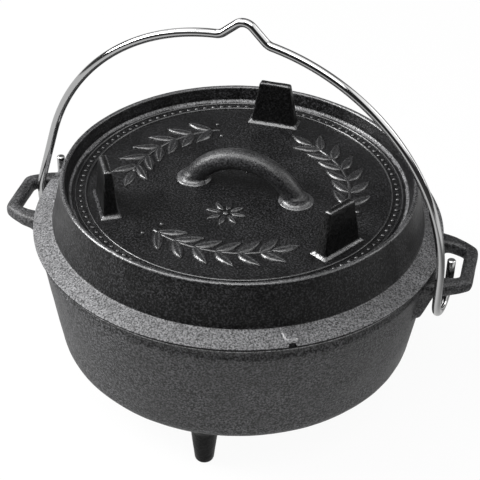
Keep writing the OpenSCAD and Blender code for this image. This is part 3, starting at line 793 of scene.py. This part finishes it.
# Studio: a pale floor and three softboxes, a big one over the camera, one at the left and a weak one at
# the right. What the iron and the wire mirror is drawn apart from these lights: for each part of it,
# where it fades from one brightness to another
studio = {
    "softboxes": [
        {"name": "keySoftbox", "bearing": -18, "elevation": 66, "distance": 1.5,
         "size": (1.7, 0.9), "power": 18.5},
        {"name": "leftSoftbox", "bearing": -80, "elevation": 32, "distance": 1.4,
         "size": (0.5, 0.9), "power": 24},
        {"name": "rightStrip", "bearing": 110, "elevation": 25, "distance": 1.3,
         "size": (0.3, 0.9), "power": 2},
    ],
    "aim": (0, 0, 0.1), "ambient": 0.15,
    "floorSize": 8, "floor": "#f2f2f2", "floorRough": 0.9, "floorWhite": 0.95,
    # the table, in metres back and to the right
    "tableBack": {"From Min": -0.75, "From Max": -0.45, "To Min": 0.05, "To Max": 0.7},
    "tableRight": {"From Min": 0.12, "From Max": 0.34, "To Min": 1, "To Max": 0.22},
    "tableFarRight": {"From Min": 0.4, "From Max": 0.6, "To Min": 0, "To Max": 1.2},
    # the room, as the share of a direction that points up, aside or back
    "ceiling": {"From Min": 0.8, "From Max": 0.88, "To Min": 0, "To Max": 1.15},
    "wallsUp": {"From Min": 0.28, "From Max": 0.4, "To Min": 0.04, "To Max": 1.3},
    "wallsAside": {"From Min": 0.4, "From Max": 0.55, "To Min": 0, "To Max": 1},
    "roomBack": {"From Min": 0, "From Max": 0.6, "To Min": 0.02, "To Max": 0.14},
}


def makeSoftbox(settings):
    bearing, elevation = math.radians(settings["bearing"]), math.radians(settings["elevation"])
    towards = Vector((math.sin(bearing) * math.cos(elevation), -math.cos(bearing) * math.cos(elevation),
                      math.sin(elevation)))
    data = bpy.data.lights.new(settings["name"], "AREA")
    data.shape = "RECTANGLE"
    data.size, data.size_y = settings["size"]
    data.energy = settings["power"]
    light = bpy.data.objects.new(settings["name"], data)
    scene.collection.objects.link(light)
    light.location = Vector(studio["aim"]) + towards * settings["distance"]
    light.rotation_mode = "QUATERNION"
    light.rotation_quaternion = (-towards).to_track_quat("-Z", "Y")


def makeFloor():
    bm = bmesh.new()
    bmesh.ops.create_grid(bm, x_segments=1, y_segments=1, size=studio["floorSize"] / 2)
    mesh = bpy.data.meshes.new("studioFloor")
    bm.to_mesh(mesh)
    bm.free()
    floor = bpy.data.objects.new("studioFloor", mesh)
    scene.collection.objects.link(floor)
    material = bpy.data.materials.new("paleFloor")
    material.use_nodes = True
    tree = material.node_tree
    shader = tree.nodes["Principled BSDF"]
    shader.inputs["Base Color"].default_value = toLinear(studio["floor"])
    shader.inputs["Roughness"].default_value = studio["floorRough"]
    shader.inputs["Specular IOR Level"].default_value = 0
    rays = addNode(tree, "ShaderNodeLightPath").outputs
    seen = addNode(tree, "ShaderNodeMath", {"operation": "MAXIMUM"}, {
        0: rays["Is Camera Ray"], 1: rays["Is Transmission Ray"]})
    share = addNode(tree, "ShaderNodeMath", {"operation": "MULTIPLY"}, {
        0: seen.outputs["Value"], 1: studio["floorWhite"]})
    white = addNode(tree, "ShaderNodeEmission", inputs={"Color": (1, 1, 1, 1), "Strength": 1})
    mixed = addNode(tree, "ShaderNodeMixShader", inputs={
        "Fac": share.outputs["Value"], 1: shader.outputs["BSDF"], 2: white.outputs["Emission"]})
    # what shines in the iron and the wire: the pale table, which ends in the dark room in front.
    # A darker strip on its right gives the wire's right leg its dark side
    place = addNode(tree, "ShaderNodeTexCoord").outputs["Object"]
    parts = addNode(tree, "ShaderNodeSeparateXYZ", inputs={"Vector": place}).outputs
    back = addNode(tree, "ShaderNodeMapRange", inputs={"Value": parts["Y"], **studio["tableBack"]})
    right = addNode(tree, "ShaderNodeMapRange", inputs={"Value": parts["X"], **studio["tableRight"]})
    farRight = addNode(tree, "ShaderNodeMapRange", inputs={"Value": parts["X"], **studio["tableFarRight"]})
    strip = addNode(tree, "ShaderNodeMath", {"operation": "MAXIMUM"}, {
        0: right.outputs["Result"], 1: farRight.outputs["Result"]})
    shade = addNode(tree, "ShaderNodeMath", {"operation": "MULTIPLY"}, {
        0: back.outputs["Result"], 1: strip.outputs["Value"]})
    table = addNode(tree, "ShaderNodeEmission", inputs={
        "Color": (1, 1, 1, 1), "Strength": shade.outputs["Value"]})
    glossy = addNode(tree, "ShaderNodeMixShader", inputs={
        "Fac": rays["Is Glossy Ray"], 1: mixed.outputs["Shader"], 2: table.outputs["Emission"]})
    tree.links.new(glossy.outputs["Shader"], tree.nodes["Material Output"].inputs["Surface"])
    mesh.materials.append(material)


def makeWorld():
    # white to the eye. In the metal: a bright ceiling, pale upper walls at both sides, a dim back and
    # a dark front
    world = bpy.data.worlds.new("studioWorld")
    scene.world = world
    world.use_nodes = True
    tree = world.node_tree
    rays = addNode(tree, "ShaderNodeLightPath").outputs
    place = addNode(tree, "ShaderNodeTexCoord").outputs["Generated"]
    parts = addNode(tree, "ShaderNodeSeparateXYZ", inputs={"Vector": place}).outputs
    aside = addNode(tree, "ShaderNodeMath", {"operation": "ABSOLUTE"}, {0: parts["X"]}).outputs["Value"]
    wallsUp = addNode(tree, "ShaderNodeMapRange", inputs={"Value": parts["Z"], **studio["wallsUp"]})
    wallsAside = addNode(tree, "ShaderNodeMapRange", inputs={"Value": aside, **studio["wallsAside"]})
    walls = addNode(tree, "ShaderNodeMath", {"operation": "MULTIPLY"}, {
        0: wallsUp.outputs["Result"], 1: wallsAside.outputs["Result"]})
    back = addNode(tree, "ShaderNodeMapRange", inputs={"Value": parts["Y"], **studio["roomBack"]})
    sides = addNode(tree, "ShaderNodeMath", {"operation": "MAXIMUM"}, {
        0: walls.outputs["Value"], 1: back.outputs["Result"]})
    ceiling = addNode(tree, "ShaderNodeMapRange", inputs={"Value": parts["Z"], **studio["ceiling"]})
    room = addNode(tree, "ShaderNodeMath", {"operation": "MAXIMUM"}, {
        0: sides.outputs["Value"], 1: ceiling.outputs["Result"]})
    around = addNode(tree, "ShaderNodeBackground", inputs={
        "Color": (1, 1, 1, 1), "Strength": room.outputs["Value"]})
    ambient = addNode(tree, "ShaderNodeBackground", inputs={
        "Color": (1, 1, 1, 1), "Strength": studio["ambient"]})
    white = addNode(tree, "ShaderNodeBackground", inputs={"Color": (1, 1, 1, 1), "Strength": 1})
    glossy = addNode(tree, "ShaderNodeMixShader", inputs={
        "Fac": rays["Is Glossy Ray"], 1: ambient.outputs["Background"], 2: around.outputs["Background"]})
    seen = addNode(tree, "ShaderNodeMath", {"operation": "MAXIMUM"}, {
        0: rays["Is Camera Ray"], 1: rays["Is Transmission Ray"]})
    last = addNode(tree, "ShaderNodeMixShader", inputs={
        "Fac": seen.outputs["Value"], 1: glossy.outputs["Shader"], 2: white.outputs["Background"]})
    tree.links.new(last.outputs["Shader"], tree.nodes["World Output"].inputs["Surface"])


for settings in studio["softboxes"]:
    makeSoftbox(settings)
makeFloor()
makeWorld()
scene.view_settings.view_transform = "Standard"
print("studio made")
